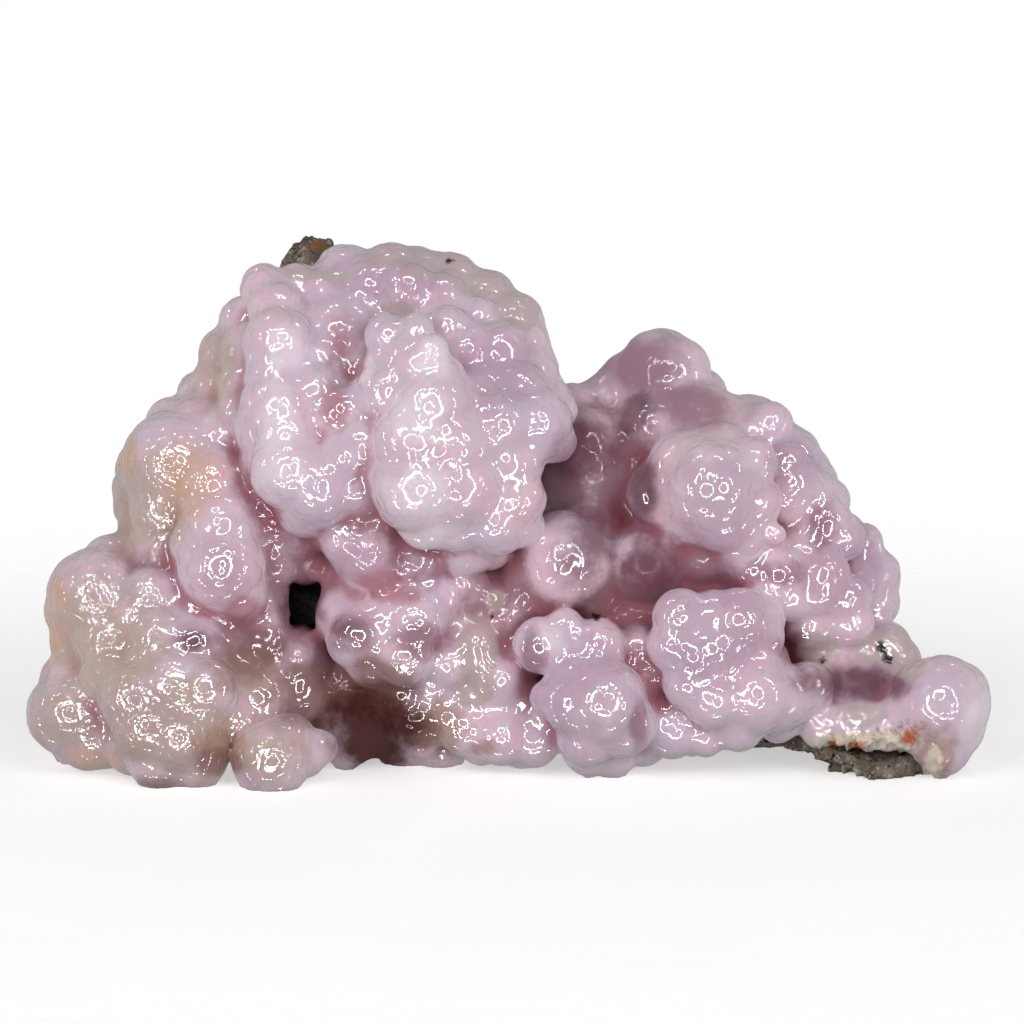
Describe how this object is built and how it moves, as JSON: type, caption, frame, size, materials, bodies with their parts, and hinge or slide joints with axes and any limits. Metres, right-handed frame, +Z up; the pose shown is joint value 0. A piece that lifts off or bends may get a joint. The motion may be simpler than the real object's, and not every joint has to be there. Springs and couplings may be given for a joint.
{
  "type": "botryoidal smithsonite specimen",
  "caption": "Pink botryoidal smithsonite crust of fused rounded lobes on a dark angular chunk of host rock, standing on a flat base.",
  "frame": {"origin": "middle of the bounding box at the flat base", "axes": "+X along the width, +Y from the display face to the broken back, +Z up"},
  "size_m": [0.0964, 0.0365, 0.0526],
  "materials": {
    "smithsonite": "waxy, translucent, glossy",
    "matrix": "rough, broken, dull"
  },
  "bodies": {
    "root": {"smithsonite_crust": "smithsonite", "matrix_rock": "matrix"}
  },
  "joints": []
}
